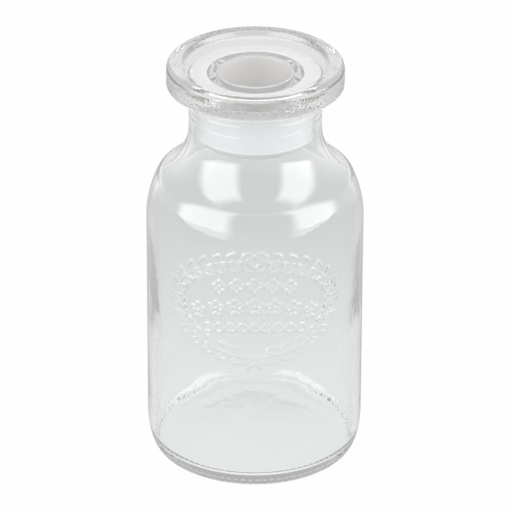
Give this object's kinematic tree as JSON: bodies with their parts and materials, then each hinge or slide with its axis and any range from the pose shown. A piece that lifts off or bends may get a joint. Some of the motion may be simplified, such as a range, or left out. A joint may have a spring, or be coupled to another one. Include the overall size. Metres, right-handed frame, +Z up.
{
  "type": "reagent bottle",
  "caption": "Clear glass wide-mouth reagent bottle with rounded shoulders and a hollow disc-headed glass stopper seated in the neck in a milky plastic sleeve.",
  "frame": {"origin": "centre of the bearing ring on which the bottle stands", "axes": "+Z up along the bottle's axis of rotation, from the base to the stopper; -Y is the side where the embossed badge faces"},
  "size_m": [0.07, 0.07, 0.1369],
  "materials": {
    "bottle_glass": "clear, fire-polished",
    "seal_plastic": "milky translucent, satin",
    "stopper_glass": "clear, pressed, lightly textured rim"
  },
  "bodies": {
    "bottle": {"bottle": "bottle_glass"},
    "seal": {"seal": "seal_plastic"},
    "stopper": {"stopper": "stopper_glass"}
  },
  "joints": [
    {"name": "stopper_lift", "type": "slide", "parent": "bottle", "child": "seal", "axis": [0, 0, 1], "range_m": [0, 0.04]},
    {"name": "stopper_turn", "type": "hinge", "parent": "seal", "child": "stopper", "pos_m": [0, 0, 0.1289], "axis": [0, 0, 1], "continuous": true}
  ]
}
